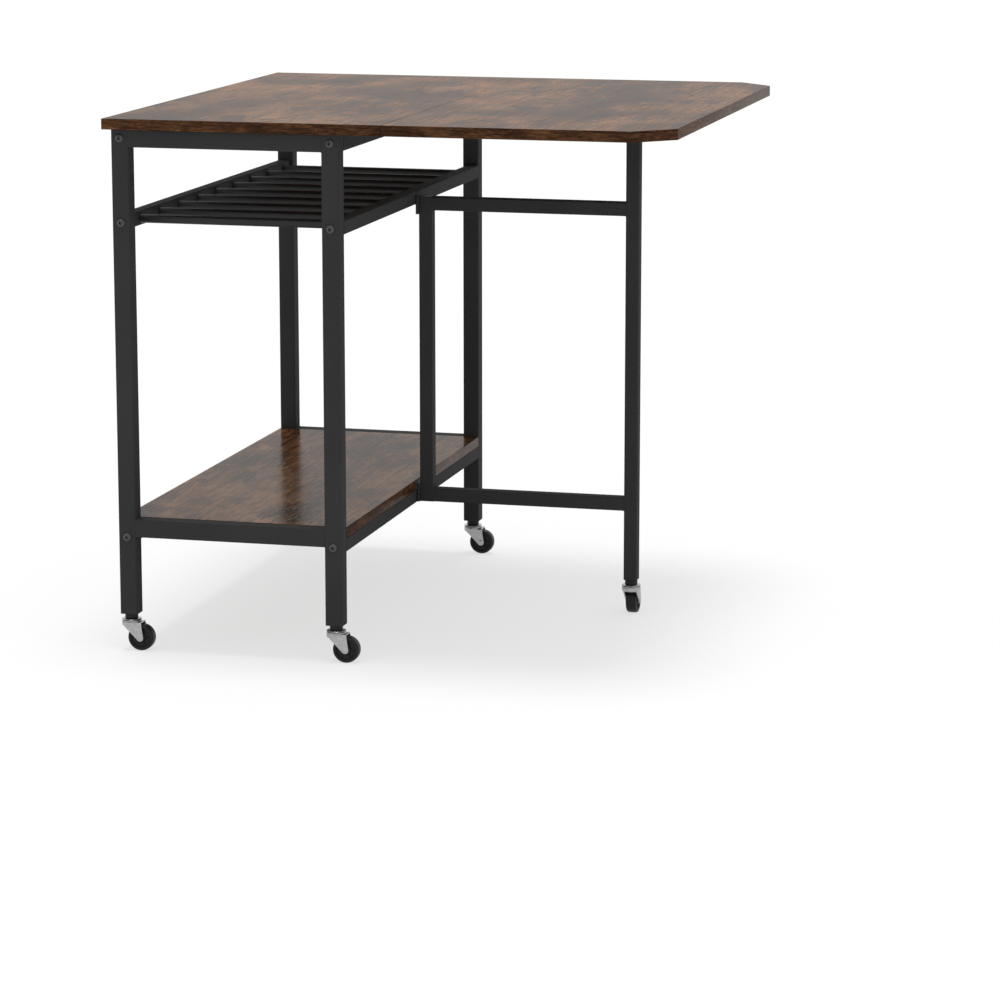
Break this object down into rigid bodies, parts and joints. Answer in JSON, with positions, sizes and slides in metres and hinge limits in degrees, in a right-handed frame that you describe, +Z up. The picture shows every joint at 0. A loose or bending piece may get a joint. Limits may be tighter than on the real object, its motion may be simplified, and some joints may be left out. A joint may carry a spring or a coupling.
{
  "type": "folding dining table",
  "caption": "Rolling dining table with a wood-look top, a hinged drop leaf on a swing-out gate, a slatted rack and a lower shelf in a black steel frame.",
  "frame": {"origin": "on the floor, under the middle of the seam between the fixed top and the leaf; this is also the middle of the whole object in plan", "axes": "+Z up; +X from the trolley frame towards the leaf; +Y along the seam, away from the front end, where the picture is taken from"},
  "size_m": [0.8, 0.8, 0.755],
  "materials": {
    "board_face": "rustic brown wood-grain laminate, satin",
    "board_edge": "wood-grain edge band, satin",
    "frame_black": "matte black powder coat",
    "bolt_black": "black oxide",
    "zinc_steel": "bright zinc plate",
    "caster_zinc": "bright zinc plate, pressed steel",
    "wheel_black": "moulded black wheel",
    "black_plastic": "moulded black plastic"
  },
  "bodies": {
    "frame": {"fixed_top": "board_face", "fixed_top_band": "board_edge", "lower_shelf": "board_face", "lower_shelf_band": "board_edge", "leg_front_left": "frame_black", "leg_front_right": "frame_black", "leg_rear_left": "frame_black", "leg_rear_right": "frame_black", "end_top_rail_front": "frame_black", "end_top_rail_rear": "frame_black", "end_low_rail_front": "frame_black", "end_low_rail_rear": "frame_black", "top_rail_left": "frame_black", "top_rail_right": "frame_black", "rack_rail_left": "frame_black", "rack_rail_right": "frame_black", "rack_bars": "frame_black", "shelf_rail_left": "frame_black", "shelf_rail_right": "frame_black", "rail_nuts": "zinc_steel", "frame_bolts": "bolt_black", "top_screws": "zinc_steel", "shelf_screws": "zinc_steel", "leg_inserts": "black_plastic", "leg_stems": "caster_zinc", "leaf_hinge_plates": "zinc_steel", "leaf_hinge_pins": "zinc_steel", "leaf_plate_screws": "zinc_steel", "gate_hinge_brackets": "frame_black", "gate_hinge_pins": "zinc_steel"},
    "leaf": {"drop_leaf": "board_face", "drop_leaf_band": "board_edge", "leaf_hinge_flaps": "zinc_steel", "leaf_flap_screws": "zinc_steel", "gate_stop": "black_plastic", "gate_stop_screws": "zinc_steel"},
    "gate": {"gate_near_post": "frame_black", "gate_far_post": "frame_black", "gate_top_rail": "frame_black", "gate_low_rail": "frame_black", "gate_hinge_knuckles": "frame_black", "gate_plugs": "black_plastic", "gate_pad_cap": "black_plastic", "gate_insert": "black_plastic", "gate_stem": "caster_zinc"},
    "caster_front_left": {"fork_front_left": "caster_zinc", "axle_front_left": "caster_zinc"},
    "roller_front_left": {"wheel_front_left": "wheel_black"},
    "caster_front_right": {"fork_front_right": "caster_zinc", "axle_front_right": "caster_zinc"},
    "roller_front_right": {"wheel_front_right": "wheel_black"},
    "caster_rear_left": {"fork_rear_left": "caster_zinc", "axle_rear_left": "caster_zinc"},
    "roller_rear_left": {"wheel_rear_left": "wheel_black"},
    "caster_rear_right": {"fork_rear_right": "caster_zinc", "axle_rear_right": "caster_zinc"},
    "roller_rear_right": {"wheel_rear_right": "wheel_black"},
    "caster_gate": {"fork_gate": "caster_zinc", "axle_gate": "caster_zinc"},
    "roller_gate": {"wheel_gate": "wheel_black"}
  },
  "joints": [
    {"name": "gate_hinge", "type": "hinge", "parent": "frame", "child": "gate", "pos_m": [-0.0592, -0.00089, 0.385], "axis": [0, 0, -1], "range_deg": [0, 90]},
    {"name": "leaf_hinge", "type": "hinge", "parent": "frame", "child": "leaf", "pos_m": [0, 0, 0.7367], "axis": [0, -1, 0], "range_deg": [0, 1]},
    {"name": "swivel_front_left", "type": "hinge", "parent": "frame", "child": "caster_front_left", "pos_m": [-0.3775, -0.3775, 0.0439], "axis": [0, 0, 1], "continuous": true},
    {"name": "roll_front_left", "type": "hinge", "parent": "caster_front_left", "child": "roller_front_left", "pos_m": [-0.3625, -0.3775, 0.019], "axis": [0, 1, 0], "continuous": true},
    {"name": "swivel_front_right", "type": "hinge", "parent": "frame", "child": "caster_front_right", "pos_m": [-0.0745, -0.3775, 0.0439], "axis": [0, 0, 1], "continuous": true},
    {"name": "roll_front_right", "type": "hinge", "parent": "caster_front_right", "child": "roller_front_right", "pos_m": [-0.0595, -0.3775, 0.019], "axis": [0, 1, 0], "continuous": true},
    {"name": "swivel_rear_left", "type": "hinge", "parent": "frame", "child": "caster_rear_left", "pos_m": [-0.3775, 0.3775, 0.0439], "axis": [0, 0, 1], "continuous": true},
    {"name": "roll_rear_left", "type": "hinge", "parent": "caster_rear_left", "child": "roller_rear_left", "pos_m": [-0.3625, 0.3775, 0.019], "axis": [0, 1, 0], "continuous": true},
    {"name": "swivel_rear_right", "type": "hinge", "parent": "frame", "child": "caster_rear_right", "pos_m": [-0.0745, 0.3775, 0.0439], "axis": [0, 0, 1], "continuous": true},
    {"name": "roll_rear_right", "type": "hinge", "parent": "caster_rear_right", "child": "roller_rear_right", "pos_m": [-0.0595, 0.3775, 0.019], "axis": [0, 1, 0], "continuous": true},
    {"name": "swivel_gate", "type": "hinge", "parent": "gate", "child": "caster_gate", "pos_m": [0.2628, 0.0117, 0.0439], "axis": [0, 0, 1], "continuous": true},
    {"name": "roll_gate", "type": "hinge", "parent": "caster_gate", "child": "roller_gate", "pos_m": [0.2628, 0.0267, 0.019], "axis": [1, 0, 0], "continuous": true}
  ]
}
